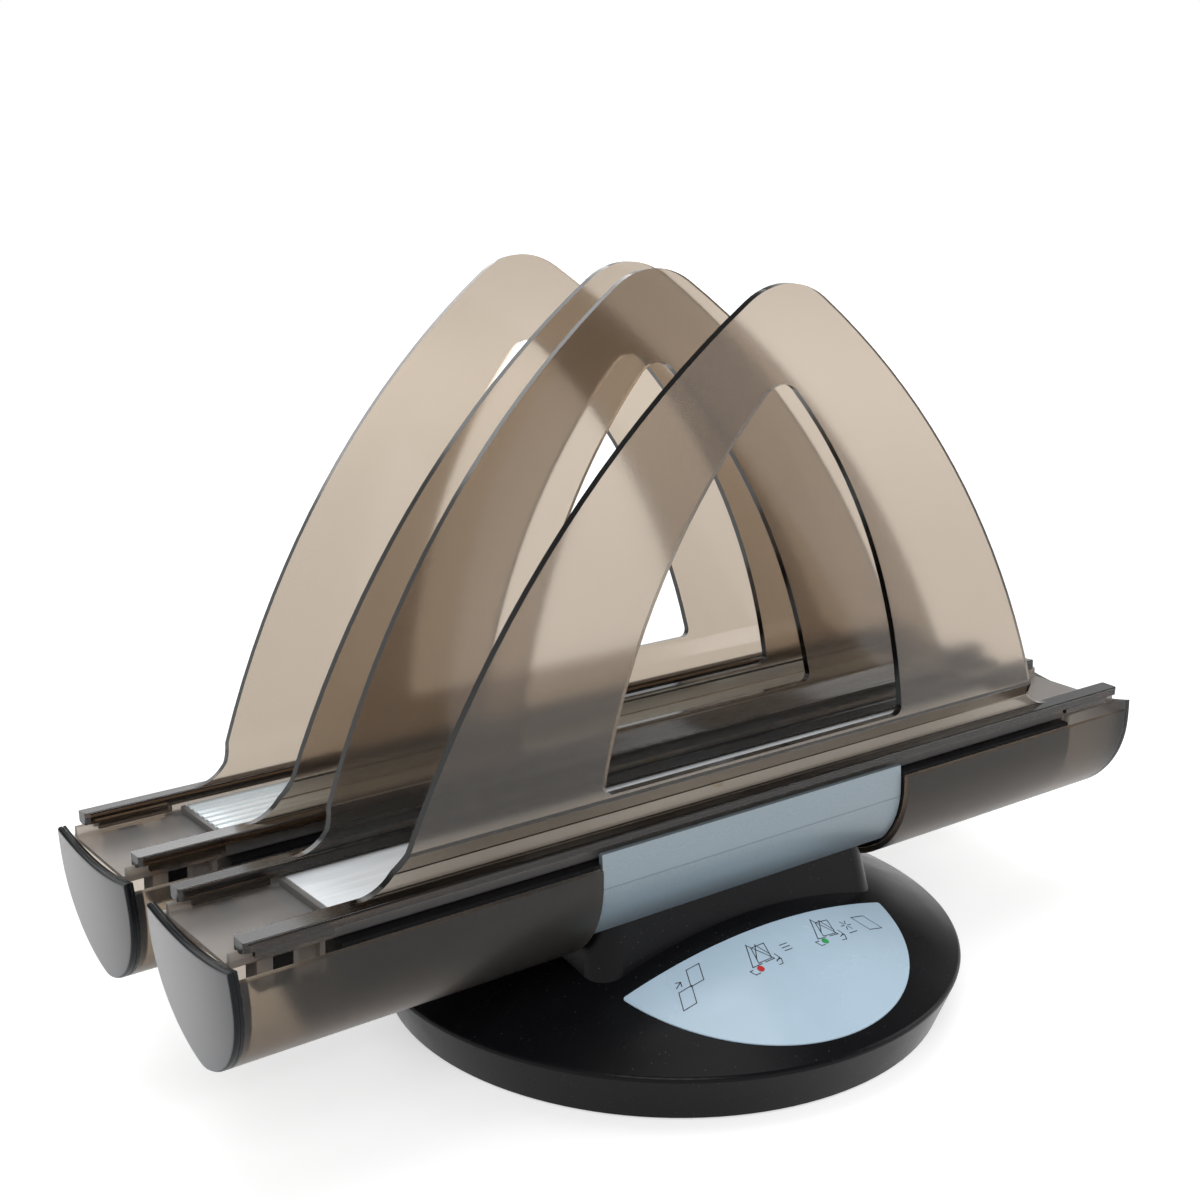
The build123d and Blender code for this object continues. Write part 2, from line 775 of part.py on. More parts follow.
def base_shell():
    dome = revolve(dome_profile(0, base_lift), Axis.Z)
    crease = dome.edges().group_by(SortBy.LENGTH)[-1]
    dome = fillet(crease, rim_round)
    body = dome + neck_outer(0)
    body -= saddles(saddle_inset)
    void = revolve(dome_profile(base_wall, -over), Axis.Z) + neck_outer(-base_wall)
    void -= saddles(saddle_inset - base_wall)
    body_outer = body
    body = body - void
    for x in (-frame_screw_x, frame_screw_x):
        for y in (front_y, rear_y):
            pad_low = roof_z() - roof_pad_drop
            body += post(x, y, roof_pad_radius, pad_low, roof_z() + base_wall) & body_outer
            body -= post(x, y, screw_hole, pad_low - over, neck_top)
    for x in (-base_boss_x, base_boss_x):
        for y in (-base_boss_y, base_boss_y):
            body += post(x, y, base_boss_radius, plate_back, dome_top) & body_outer
            body -= post(x, y, screw_hole, plate_back - over, plate_back + screw_reach)
    body -= post(lead_x, front_y, lead_hole_radius, neck_level, neck_top)
    panel_wall = block(-panel_half_x - base_wall, panel_half_x + base_wall, panel_y - base_wall, panel_y,
                       base_lift, dome_top)
    body += panel_wall & body_outer
    body -= block(-panel_half_x, panel_half_x, panel_y, base_radius, panel_low, panel_high)
    cutouts = [(inlet_x, inlet_body_x, inlet_body_z)]
    cutouts += [(switch_x, switch_body_x, switch_body_z)]
    for x, size_x, size_z in cutouts:
        cut_x = size_x / 2 + cutout_gap
        cut_z = size_z / 2 + cutout_gap
        body -= block(x - cut_x, x + cut_x, panel_y - base_wall - over, panel_y + over,
                      socket_z - cut_z, socket_z + cut_z)
    return body


def roof_z():
    """Underside of the neck's roof below each keel."""
    low = keel_radius - saddle_inset + base_wall
    return widest_z - math.sqrt(low**2 - low_centre**2)


def bottom_plate_node():
    """Flat cover under the base, with vent slots and screw holes."""
    inner_wall = foot_ring_radius - base_wall - fit_gap
    body = post(0, 0, inner_wall, bottom_plate_z, plate_back)
    for number in range(vent_count):
        x = (number - (vent_count - 1) / 2) * vent_pitch
        slot = Pos(x, mid_y, plate_back) * SlotOverall(vent_length, vent_width, rotation=90)
        body -= extrude(slot, amount=bottom_plate + over, dir=(0, 0, -1))
    for x, y in board_posts():
        body += post(x, y, standoff_radius, plate_back - root_bite, board_z)
    for x in (-base_boss_x, base_boss_x):
        for y in (-base_boss_y, base_boss_y):
            body -= post(x, y, screw_hole, 0, plate_back + over)
            body -= post(x, y, screw_head + fit_gap, 0, bottom_plate_z + screw_sink)
    return body


def board_posts():
    """Places of the standoffs under both boards."""
    boards = [(power_board_x, power_board_y, power_board_length, power_board_width)]
    boards += [(control_board_x, control_board_y, control_board_length, control_board_width)]
    places = []
    for x, y, length, width in boards:
        reach_x = length / 2 - standoff_inset
        reach_y = width / 2 - standoff_inset
        for side in (-reach_y, reach_y):
            places.append((x - reach_x, y + side))
            places.append((x + reach_x, y + side))
    return places


def rubber_feet():
    feet = []
    for x in (-rubber_foot_place, rubber_foot_place):
        for y in (-rubber_foot_place, rubber_foot_place):
            foot = post(x, y, rubber_foot_radius, 0, bottom_plate_z)
            feet.append(fillet(foot.edges().sort_by(Axis.Z)[0], rubber_foot_round))
    return Compound(feet)


def screw(x, y, head_bottom, head_top, reach):
    """Pan-head screw driven upwards, with a cross recess."""
    head = post(x, y, screw_head, head_bottom, head_top)
    body = head + post(x, y, screw_shank, head_top - root_bite, head_top + reach)
    recess = block(-cross_half, cross_half, -cross_slot, cross_slot,
                   head_bottom - over, head_bottom + cross_depth)
    recess += Rot(0, 0, 90) * recess
    return body - Pos(x, y, 0) * recess


def base_screws():
    screws = []
    for x in (-base_boss_x, base_boss_x):
        for y in (-base_boss_y, base_boss_y):
            top = bottom_plate_z + screw_sink
            screws.append(screw(x, y, bottom_plate_z, top, screw_reach - screw_end_gap))
    return Compound(screws)


def frame_screws():
    screws = []
    top = roof_z() - roof_pad_drop
    for x in (-frame_screw_x, frame_screw_x):
        for y in (front_y, rear_y):
            reach = frame_boss_top - frame_boss_roof - screw_end_gap - top
            screws.append(screw(x, y, top - screw_head_height, top, reach))
    return Compound(screws)


def label():
    """Thin sheet on the dome: a disc cut straight behind, with small round corners."""
    disc = Pos(label_x, label_y) * Circle(label_radius)
    disc &= rectangle(label_x - label_radius, label_x + label_radius, label_y - label_radius, label_back_y)
    disc = fillet(disc.vertices(), label_corner)
    column = extrude(disc, amount=dome_top, dir=(0, 0, 1))
    skin = Pos(0, 0, dome_centre_z) * Sphere(dome_radius + label_sheet)
    skin -= Pos(0, 0, dome_centre_z) * Sphere(dome_radius + contact_gap)
    return column & skin


def power_board():
    return board_sheet_at(power_board_x, power_board_y, power_board_length, power_board_width)


def control_board():
    return board_sheet_at(control_board_x, control_board_y, control_board_length, control_board_width)


def board_sheet_at(x, y, length, width):
    sheet = block(x - length / 2, x + length / 2, y - width / 2, y + width / 2,
                  board_z, board_z + board_sheet)
    return fillet(sheet.edges().filter_by(Axis.Z), board_corner)


def transformer():
    """Laminated core with its bobbin, on the power board."""
    low = board_z + board_sheet
    x = power_board_x + core_x
    y = power_board_y
    coil_half_y = core_half_y + coil_reach
    core = block(x - core_half_x, x + core_half_x, y - core_half_y, y + core_half_y,
                 low, low + core_height)
    coil = block(x - coil_half_x, x + coil_half_x, y - coil_half_y, y + coil_half_y,
                 low, low + coil_height)
    return core + fillet(coil.edges().filter_by(Axis.X), part_round)


def relay():
    low = board_z + board_sheet
    x = power_board_x + relay_x
    y = power_board_y
    body = block(x - relay_half_x, x + relay_half_x, y - relay_half_y, y + relay_half_y,
                 low, low + relay_height)
    return fillet(body.edges().filter_by(Axis.Z), part_round)


def control_chip():
    low = board_z + board_sheet
    x = control_board_x
    y = control_board_y
    return block(x - chip_half_x, x + chip_half_x, y - chip_half_y, y + chip_half_y, low, low + chip_height)


def power_inlet():
    """Two-pin socket set in the flat wall at the back of the skirt."""
    face = panel_y + panel_flange
    body = block(-inlet_body_x / 2, inlet_body_x / 2, face - inlet_depth, face,
                 -inlet_body_z / 2, inlet_body_z / 2)
    flange = block(-inlet_flange_x / 2, inlet_flange_x / 2, face - panel_flange, face,
                   -inlet_flange_z / 2, inlet_flange_z / 2)
    body += fillet(flange.edges().filter_by(Axis.Y), flange_corner)
    mouth = SlotOverall(inlet_mouth_x, inlet_mouth_z)
    body -= along_y(mouth, face - inlet_recess, face + over)
    for side in (-1, 1):
        pin = Pos(side * inlet_pin_spacing / 2, 0) * Circle(inlet_pin_radius)
        body += along_y(pin, face - inlet_recess - root_bite, face - inlet_recess + inlet_pin_length)
    return Pos(inlet_x, 0, socket_z) * body


def switch_housing():
    face = panel_y + panel_flange
    body = block(-switch_body_x / 2, switch_body_x / 2, face - switch_depth, face,
                 -switch_body_z / 2, switch_body_z / 2)
    flange = block(-switch_flange_x / 2, switch_flange_x / 2, face - panel_flange, face,
                   -switch_flange_z / 2, switch_flange_z / 2)
    body += fillet(flange.edges().filter_by(Axis.Y), flange_corner)
    body -= block(-switch_mouth_x / 2, switch_mouth_x / 2, face - switch_recess, face + over,
                  -switch_mouth_z / 2, switch_mouth_z / 2)
    hole = Cylinder(axle_radius + axle_running_gap, 2 * axle_reach + 2 * axle_running_gap)
    body -= Pos(0, face - rocker_sink, 0) * hole
    return Pos(switch_x, 0, socket_z) * body


def power_rocker():
    """Rocker on its two stub axles, standing in the off position."""
    corners = [
        (-rocker_half, rocker_front),
        (0, rocker_front - rocker_dip),
        (rocker_half, rocker_front),
        (rocker_back_half, -rocker_back),
        (-rocker_back_half, -rocker_back),
    ]
    plan = make_face(Polyline(*corners, close=True))
    body = extrude(plan, amount=rocker_height, dir=(0, 0, 1))
    body = Pos(0, 0, -rocker_height / 2) * body
    body += Cylinder(axle_radius, 2 * axle_reach)
    return Pos(switch_x, panel_y + panel_flange - rocker_sink, socket_z) * Rot(0, 0, -rocker_tilt) * body


nodes = {}
half = support()
nodes["heating_front_support"] = placed_support(half, front_y, -1, heating_front_lean)
nodes["heating_rear_support"] = placed_support(half, front_y, 1, heating_rear_lean)
nodes["cooling_front_support"] = placed_support(half, rear_y, -1, cooling_front_lean)
nodes["cooling_rear_support"] = placed_support(half, rear_y, 1, cooling_rear_lean)
shell = right_shell()
cap = right_cap()
nodes["front_right_shell"] = at_front(shell)
nodes["front_left_shell"] = at_front(at_left(shell))
nodes["rear_right_shell"] = at_rear(shell)
nodes["rear_left_shell"] = at_rear(at_left(shell))
nodes["front_right_end_cap"] = at_front(cap)
nodes["front_left_end_cap"] = at_front(at_left(cap))
nodes["rear_right_end_cap"] = at_rear(cap)
nodes["rear_left_end_cap"] = at_rear(at_left(cap))
nodes["front_band"] = at_front(band())
nodes["rear_band"] = at_rear(band())
nodes["front_frame"] = at_front(heating_frame())
nodes["rear_frame"] = at_rear(frame())
nodes["front_tray"] = at_front(tray())
nodes["rear_tray"] = at_rear(tray())
nodes["front_end_blocks"] = at_front(end_blocks())
nodes["rear_end_blocks"] = at_rear(end_blocks())
nodes["heating_plate"] = at_front(heating_plate())
nodes["cooling_plate"] = at_rear(cooling_plate())
nodes["heater_element"] = at_front(heater_element())
nodes["heat_shield"] = at_front(heat_shield())
nodes["thermostat"] = at_front(thermostat())
nodes["thermal_fuse"] = at_front(thermal_fuse())
nodes["heater_leads"] = at_front(heater_leads())
nodes["start_plunger"] = at_front(start_plunger())
nodes["plunger_spring"] = at_front(plunger_spring())
nodes["start_switch"] = at_front(start_switch())
nodes["base_shell"] = base_shell()
nodes["bottom_plate"] = bottom_plate_node()
nodes["rubber_feet"] = rubber_feet()
nodes["base_screws"] = base_screws()
nodes["frame_screws"] = frame_screws()
nodes["base_label"] = label()
nodes["power_board"] = power_board()
nodes["control_board"] = control_board()
nodes["transformer"] = transformer()
nodes["relay"] = relay()
nodes["control_chip"] = control_chip()
nodes["power_inlet"] = power_inlet()
nodes["switch_housing"] = switch_housing()
nodes["power_rocker"] = power_rocker()

os.makedirs("parts", exist_ok=True)
for name, piece in nodes.items():
    export_step(piece, "parts/" + name + ".step")
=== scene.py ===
import bpy
import math
from mathutils import Matrix, Vector


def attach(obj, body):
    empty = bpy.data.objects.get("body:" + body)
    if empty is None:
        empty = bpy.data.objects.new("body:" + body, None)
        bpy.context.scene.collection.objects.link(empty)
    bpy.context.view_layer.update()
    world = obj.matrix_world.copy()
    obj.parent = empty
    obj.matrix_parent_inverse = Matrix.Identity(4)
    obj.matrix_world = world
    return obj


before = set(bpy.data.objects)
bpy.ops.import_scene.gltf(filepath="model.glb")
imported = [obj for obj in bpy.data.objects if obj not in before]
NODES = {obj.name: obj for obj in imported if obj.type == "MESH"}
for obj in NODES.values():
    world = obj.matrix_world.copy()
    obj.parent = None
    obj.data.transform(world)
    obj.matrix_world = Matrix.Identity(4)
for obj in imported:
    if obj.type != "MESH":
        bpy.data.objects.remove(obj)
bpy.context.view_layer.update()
MM = 0.001

# ------------------------------------------------------------------ camera
CAMERA_PLACE = (-0.39416, -0.46914, 0.31476)
CAMERA_YAW = math.radians(37.7)      # from +Y towards +X
CAMERA_PITCH = math.radians(12.68)   # downwards
CAMERA_ROLL = math.radians(0.89)
CAMERA_LENS = 54.43
CAMERA_SHIFT = (-0.0012, -0.0856)


def make_camera():
    """Camera at the photograph's place, looking along the heating trough from its left."""
    data = bpy.data.cameras.new("camera")
    data.sensor_width = 36.0
    data.lens = CAMERA_LENS
    data.shift_x, data.shift_y = CAMERA_SHIFT
    data.clip_start = 0.01
    data.clip_end = 50.0
    camera = bpy.data.objects.new("camera", data)
    forward = Vector((math.sin(CAMERA_YAW) * math.cos(CAMERA_PITCH),
                      math.cos(CAMERA_YAW) * math.cos(CAMERA_PITCH),
                      -math.sin(CAMERA_PITCH)))
    level = forward.cross(Vector((0, 0, 1))).normalized()
    upright = level.cross(forward)
    right = level * math.cos(CAMERA_ROLL) + upright * math.sin(CAMERA_ROLL)
    up = right.cross(forward)
    turn = Matrix((right, up, -forward)).transposed().to_4x4()
    camera.matrix_world = Matrix.Translation(CAMERA_PLACE) @ turn
    bpy.context.scene.collection.objects.link(camera)
    bpy.context.scene.camera = camera


# ------------------------------------------------------------------ light and floor
AMBIENT = 0.50
FLOOR_COLOR = (0.62, 0.62, 0.62, 1)
FLOOR_GLOW = (0.57, 1.0)     # near the object and far away, so that the floor reads white
FLOOR_FADE = (0.35, 1.6)     # metres between which the glow rises
FLOOR_SIZE = 12.0
CEILING = 0.16               # darkness overhead, as gloss shows it
CEILING_FADE = (0.22, 0.62)  # sine of the elevation between which the backdrop darkens
SOFTBOXES = {
    # name: (place, aimed at, width, height, watts)
    "key": ((-0.9, -1.2, 1.5), (0, 0, 0.08), 1.1, 0.9, 15.0),
    "fill": ((1.5, -0.8, 0.9), (0, 0, 0.08), 1.0, 1.0, 7.0),
    "top": ((0.1, 0.3, 1.9), (0, 0, 0.05), 1.6, 1.2, 13.0),
    "back": ((0.2, 1.6, 1.0), (0, 0, 0.1), 1.4, 0.8, 8.0),
}


def seen_directly(nodes, links):
    """1 for rays from the camera and for those seen in gloss or through clear plastic."""
    path = nodes.new("ShaderNodeLightPath")
    first = nodes.new("ShaderNodeMath")
    first.operation = "MAXIMUM"
    second = nodes.new("ShaderNodeMath")
    second.operation = "MAXIMUM"
    links.new(path.outputs["Is Camera Ray"], first.inputs[0])
    links.new(path.outputs["Is Glossy Ray"], first.inputs[1])
    links.new(first.outputs[0], second.inputs[0])
    links.new(path.outputs["Is Transmission Ray"], second.inputs[1])
    return second.outputs[0]


def make_world():
    world = bpy.data.worlds.new("studio")
    bpy.context.scene.world = world
    world.use_nodes = True
    nodes, links = world.node_tree.nodes, world.node_tree.links
    nodes.clear()
    ambient = nodes.new("ShaderNodeBackground")
    ambient.inputs["Color"].default_value = (1.0, 1.0, 1.0, 1)
    ambient.inputs["Strength"].default_value = AMBIENT
    white = nodes.new("ShaderNodeBackground")
    white.inputs["Color"].default_value = (1.0, 1.0, 1.0, 1)
    place = nodes.new("ShaderNodeTexCoord")
    split = nodes.new("ShaderNodeSeparateXYZ")
    fade = nodes.new("ShaderNodeMapRange")
    fade.interpolation_type = "SMOOTHSTEP"
    fade.inputs["From Min"].default_value, fade.inputs["From Max"].default_value = CEILING_FADE
    fade.inputs["To Min"].default_value = 1.0
    fade.inputs["To Max"].default_value = CEILING
    links.new(place.outputs["Generated"], split.inputs["Vector"])
    links.new(split.outputs["Z"], fade.inputs["Value"])
    links.new(fade.outputs["Result"], white.inputs["Strength"])
    mix = nodes.new("ShaderNodeMixShader")
    output = nodes.new("ShaderNodeOutputWorld")
    links.new(seen_directly(nodes, links), mix.inputs["Fac"])
    links.new(ambient.outputs[0], mix.inputs[1])
    links.new(white.outputs[0], mix.inputs[2])
    links.new(mix.outputs[0], output.inputs["Surface"])


def make_lamps():
    for name, (place, target, width, height, watts) in SOFTBOXES.items():
        data = bpy.data.lights.new(name, "AREA")
        data.shape = "RECTANGLE"
        data.size = width
        data.size_y = height
        data.energy = watts
        lamp = bpy.data.objects.new(name, data)
        aim = Vector(target) - Vector(place)
        turn = aim.to_track_quat("-Z", "Y").to_matrix().to_4x4()
        lamp.matrix_world = Matrix.Translation(place) @ turn
        bpy.context.scene.collection.objects.link(lamp)


def make_floor():
    half = FLOOR_SIZE / 2
    mesh = bpy.data.meshes.new("floor")
    corners = [(-half, -half, 0), (half, -half, 0), (half, half, 0), (-half, half, 0)]
    mesh.from_pydata(corners, [], [(0, 1, 2, 3)])
    floor = bpy.data.objects.new("floor", mesh)
    bpy.context.scene.collection.objects.link(floor)
    material = bpy.data.materials.new("pale_floor")
    material.use_nodes = True
    nodes, links = material.node_tree.nodes, material.node_tree.links
    nodes.clear()
    paint = nodes.new("ShaderNodeBsdfDiffuse")
    paint.inputs["Color"].default_value = FLOOR_COLOR
    glow = nodes.new("ShaderNodeEmission")
    place = nodes.new("ShaderNodeTexCoord")
    reach = nodes.new("ShaderNodeVectorMath")
    reach.operation = "LENGTH"
    fade = nodes.new("ShaderNodeMapRange")
    fade.interpolation_type = "SMOOTHSTEP"
    fade.inputs["From Min"].default_value, fade.inputs["From Max"].default_value = FLOOR_FADE
    fade.inputs["To Min"].default_value, fade.inputs["To Max"].default_value = FLOOR_GLOW
    links.new(place.outputs["Object"], reach.inputs[0])
    links.new(reach.outputs["Value"], fade.inputs["Value"])
    level = nodes.new("ShaderNodeMath")
    level.operation = "MULTIPLY"
    links.new(fade.outputs["Result"], level.inputs[1])
    both = nodes.new("ShaderNodeAddShader")
    output = nodes.new("ShaderNodeOutputMaterial")
    links.new(seen_directly(nodes, links), level.inputs[0])
    links.new(level.outputs[0], glow.inputs["Strength"])
    links.new(paint.outputs[0], both.inputs[0])
    links.new(glow.outputs[0], both.inputs[1])
    links.new(both.outputs[0], output.inputs["Surface"])
    mesh.materials.append(material)


# ------------------------------------------------------------------ shared surface effects
def new_group(name, inputs, outputs):
    """Empty shader group with named float sockets; returns it with its two end nodes."""
    group = bpy.data.node_groups.new(name, "ShaderNodeTree")
    for label, value in inputs.items():
        socket = group.interface.new_socket(label, in_out="INPUT", socket_type="NodeSocketFloat")
        socket.default_value = value
    for label in outputs:
        group.interface.new_socket(label, in_out="OUTPUT", socket_type="NodeSocketFloat")
    entry = group.nodes.new("NodeGroupInput")
    leave = group.nodes.new("NodeGroupOutput")
    return group, entry, leave


def moulded_grain_group():
    """Fine spark-eroded grain (height) and slow flow marks (0 to 1) of moulded plastic."""
    scales = {"Grain Scale": 900.0, "Flow Scale": 14.0}
    group, entry, leave = new_group("moulded_grain", scales, ("Height", "Flow"))
    nodes, links = group.nodes, group.links
    place = nodes.new("ShaderNodeTexCoord")
    grain = nodes.new("ShaderNodeTexNoise")
    grain.inputs["Detail"].default_value = 3.0
    grain.inputs["Roughness"].default_value = 0.65
    flow = nodes.new("ShaderNodeTexNoise")
    flow.inputs["Detail"].default_value = 4.0
    flow.inputs["Distortion"].default_value = 0.6
    links.new(place.outputs["Object"], grain.inputs["Vector"])
    links.new(place.outputs["Object"], flow.inputs["Vector"])
    links.new(entry.outputs["Grain Scale"], grain.inputs["Scale"])
    links.new(entry.outputs["Flow Scale"], flow.inputs["Scale"])
    links.new(grain.outputs["Fac"], leave.inputs["Height"])
    links.new(flow.outputs["Fac"], leave.inputs["Flow"])
    return group


def handling_group():
    """Faint wiped smudges and sparse dust, both 0 to 1."""
    scales = {"Smudge Scale": 22.0, "Dust Scale": 420.0}
    group, entry, leave = new_group("handling", scales, ("Smudge", "Dust"))
    nodes, links = group.nodes, group.links
    place = nodes.new("ShaderNodeTexCoord")
    smudge = nodes.new("ShaderNodeTexNoise")
    smudge.inputs["Detail"].default_value = 6.0
    smudge.inputs["Distortion"].default_value = 1.4
    spread = nodes.new("ShaderNodeMapRange")
    spread.inputs["From Min"].default_value = 0.45
    spread.inputs["From Max"].default_value = 0.75
    speck = nodes.new("ShaderNodeTexVoronoi")
    near = nodes.new("ShaderNodeMapRange")
    near.inputs["From Min"].default_value = 0.10
    near.inputs["From Max"].default_value = 0.03
    links.new(place.outputs["Object"], smudge.inputs["Vector"])
    links.new(place.outputs["Object"], speck.inputs["Vector"])
    links.new(entry.outputs["Smudge Scale"], smudge.inputs["Scale"])
    links.new(entry.outputs["Dust Scale"], speck.inputs["Scale"])
    links.new(smudge.outputs["Fac"], spread.inputs["Value"])
    links.new(spread.outputs["Result"], leave.inputs["Smudge"])
    links.new(speck.outputs["Distance"], near.inputs["Value"])
    links.new(near.outputs["Result"], leave.inputs["Dust"])
    return group


def facing_group():
    """How far a surface faces along the part's own X, Y or Z, each 0 to 1."""
    group, entry, leave = new_group("facing", {}, ("Along X", "Along Y", "Along Z"))
    nodes, links = group.nodes, group.links
    place = nodes.new("ShaderNodeTexCoord")
    split = nodes.new("ShaderNodeSeparateXYZ")
    links.new(place.outputs["Normal"], split.inputs["Vector"])
    for axis in "XYZ":
        size = nodes.new("ShaderNodeMath")
        size.operation = "ABSOLUTE"
        links.new(split.outputs[axis], size.inputs[0])
        links.new(size.outputs[0], leave.inputs["Along " + axis])
    return group


BAR_TOP = 85.5                # top of the supports' bars, in mm
SMOKE = (0.40, 0.215, 0.0)    # what the smoked plastic lets through, at SMOKE_DEPTH per metre
SMOKE_DEPTH = 340.0
BAR_FADE = 1.5                # mm over which a support's bar turns into its sheet
BAR_ROUGHNESS = 0.14
BAR_CLEAR = (0.26, 0.25, 0.24)
SHEET_CLEAR = (0.76, 0.77, 0.77)
SHEET_HAZE = 0.02
SHEET_EDGE = (0.25, 0.5)      # cosines at which a cut edge ends and a face is plain
SHEET_ROUGHNESS = 0.14
SHEET_IOR = 1.45
SATIN_IOR = 1.25              # lower, since grain takes the gloss off
EDGE_COLOR = (0.010, 0.013, 0.017)
# caps: tint of the painted-shade side and of the painted-light side, which is also the cap's clear tint
CAP_PAINTED_SHADE = (0.20, 0.21, 0.23)
CAP_PAINTED_LIGHT = (0.95, 0.97, 1.0)
CAP_HAZE = 0.44
CAP_ROUGHNESS = 0.36
CAP_RIM = (0.80, 0.975)       # cosines at which a cap's rim ends and its face is plain
CAP_PAINTED_LIGHT_SPAN = (0.05, 0.95)       # shares of the cap's width between which the painted light rises over the painted shade
BLACK_GLOSS = 0.11
DUST_COLOR = (0.25, 0.25, 0.26)
SILVER_COLOR = (0.255, 0.31, 0.345)
LABEL_COLOR = (0.43, 0.56, 0.67)

GRAIN = moulded_grain_group()
HANDLING = handling_group()
FACING = facing_group()


# ------------------------------------------------------------------ material building blocks
class Finish:
    """One material: a Principled shader and the few nodes that vary its surface."""

    def __init__(self, name, color, roughness, metallic=0.0, transmission=0.0, ior=1.48, coat=0.0):
        self.material = bpy.data.materials.new(name)
        self.material.use_nodes = True
        self.nodes = self.material.node_tree.nodes
        self.links = self.material.node_tree.links
        self.shader = self.nodes["Principled BSDF"]
        self.set("Base Color", (*color, 1))
        self.set("Roughness", roughness)
        self.set("Metallic", metallic)
        self.set("Transmission Weight", transmission)
        self.set("IOR", ior)
        self.set("Coat Weight", coat)

    def set(self, socket, value):
        self.shader.inputs[socket].default_value = value

    def group(self, tree, **values):
        node = self.nodes.new("ShaderNodeGroup")
        node.node_tree = tree
        for label, value in values.items():
            node.inputs[label.replace("_", " ").title()].default_value = value
        return node

    def mix_color(self, mask, low, high):
        """Colour that runs from low to high with a mask; either end may be a socket."""
        mix = self.nodes.new("ShaderNodeMix")
        mix.data_type = "RGBA"
        self.links.new(mask, mix.inputs["Factor"])
        for label, value in (("A", low), ("B", high)):
            socket = [s for s in mix.inputs if s.name == label and s.type == "RGBA"][0]
            if isinstance(value, bpy.types.NodeSocket):
                self.links.new(value, socket)
            else:
                socket.default_value = (*value, 1)
        return [s for s in mix.outputs if s.type == "RGBA"][0]

    def span(self, value, low, high, from_low=0.0, from_high=1.0):
        """Maps a socket onto low to high."""
        node = self.nodes.new("ShaderNodeMapRange")
        node.inputs["From Min"].default_value = from_low
        node.inputs["From Max"].default_value = from_high
        node.inputs["To Min"].default_value = low
        node.inputs["To Max"].default_value = high
        self.links.new(value, node.inputs["Value"])
        return node.outputs["Result"]

    def connect(self, output, socket):
        self.links.new(output, self.shader.inputs[socket])

    def bump(self, height, distance, strength=1.0):
        node = self.nodes.new("ShaderNodeBump")
        node.inputs["Distance"].default_value = distance
        node.inputs["Strength"].default_value = strength
        self.links.new(height, node.inputs["Height"])
        self.connect(node.outputs["Normal"], "Normal")


def tint(color, factor):
    return tuple(channel * factor for channel in color)


def fill_with_smoke(finish):
    """Darkens what is seen through the part with the thickness that light goes through."""
    inside = finish.nodes.new("ShaderNodeVolumeAbsorption")
    inside.inputs["Color"].default_value = (*SMOKE, 1)
    inside.inputs["Density"].default_value = SMOKE_DEPTH
    finish.links.new(inside.outputs[0], finish.nodes["Material Output"].inputs["Volume"])


def smoked_plastic(name, clear, haze, roughness, ior=SATIN_IOR):
    """Clear brown-grey moulding; clear is its surface's own tint and haze its milky share."""
    finish = Finish(name, clear, roughness, transmission=1.0 - haze, ior=ior)
    grain = finish.group(GRAIN, flow_scale=9.0)
    flow = finish.span(grain.outputs["Flow"], 0.0, 1.0, 0.35, 0.65)
    finish.skin = finish.mix_color(flow, tint(clear, 0.98), tint(clear, 1.01))
    finish.connect(finish.skin, "Base Color")
    fill_with_smoke(finish)
    return finish


def darken_edges(finish, skin, axis, clear):
    """Dark edges where a sheet doesn't face along one of its own axes.

    clear holds the cosines at which the edge ends and at which the face is plain."""
    facing = finish.group(FACING)
    face = finish.span(facing.outputs["Along " + axis], 0.0, 1.0, *clear)
    finish.connect(finish.mix_color(face, EDGE_COLOR, skin), "Base Color")


def own_place(finish, kind, axis):
    """One of the part's own coordinates: its place in metres, or its share of the part's size."""
    place = finish.nodes.new("ShaderNodeTexCoord")
    split = finish.nodes.new("ShaderNodeSeparateXYZ")
    finish.links.new(place.outputs[kind], split.inputs["Vector"])
    return split.outputs[axis]


def smoked_sheet():
    """Polished sheet with dark cut edges, over a satin bar of the same plastic."""
    finish = smoked_plastic("smoked_support", SHEET_CLEAR, SHEET_HAZE, SHEET_ROUGHNESS, SHEET_IOR)
    height = own_place(finish, "Object", "Z")
    heights = (BAR_TOP * MM, (BAR_TOP + BAR_FADE) * MM)
    finish.connect(finish.span(height, BAR_ROUGHNESS, SHEET_ROUGHNESS, *heights), "Roughness")
    above = finish.span(height, 0.0, 1.0, *heights)
    skin = finish.mix_color(above, BAR_CLEAR, finish.skin)
    darken_edges(finish, skin, "Y", SHEET_EDGE)
    return finish.material


def smoked_cap():
    """Milky satin cap with a dark rim; painted light, as from between the troughs, brightens its +Y side and
    painted shade darkens the other.
    """
    finish = smoked_plastic("smoked_cap", CAP_PAINTED_LIGHT, CAP_HAZE, CAP_ROUGHNESS)
    # painted light and shade: the colour runs from a dark tint to a bright tint across the cap's width
    glow = finish.span(own_place(finish, "Generated", "Y"), 0.0, 1.0, *CAP_PAINTED_LIGHT_SPAN)
    skin = finish.mix_color(glow, CAP_PAINTED_SHADE, CAP_PAINTED_LIGHT)
    darken_edges(finish, skin, "X", CAP_RIM)
    return finish.material


def black_plastic(name, color, roughness, grain_scale, depth):
    """Satin black moulding with fine grain, wiped smudges and a little dust."""
    finish = Finish(name, color, roughness, ior=1.5)
    finish.set("Specular IOR Level", BLACK_GLOSS)
    grain_node = finish.group(GRAIN, grain_scale=grain_scale, flow_scale=10.0)
    marks = finish.group(HANDLING, smudge_scale=20.0, dust_scale=380.0)
    dusty = finish.mix_color(finish.span(marks.outputs["Dust"], 0.0, 0.25), color, DUST_COLOR)
    finish.connect(dusty, "Base Color")
    finish.connect(finish.span(marks.outputs["Smudge"], roughness - 0.05, roughness + 0.08), "Roughness")
    finish.bump(grain_node.outputs["Height"], depth, 0.8)
    return finish.material


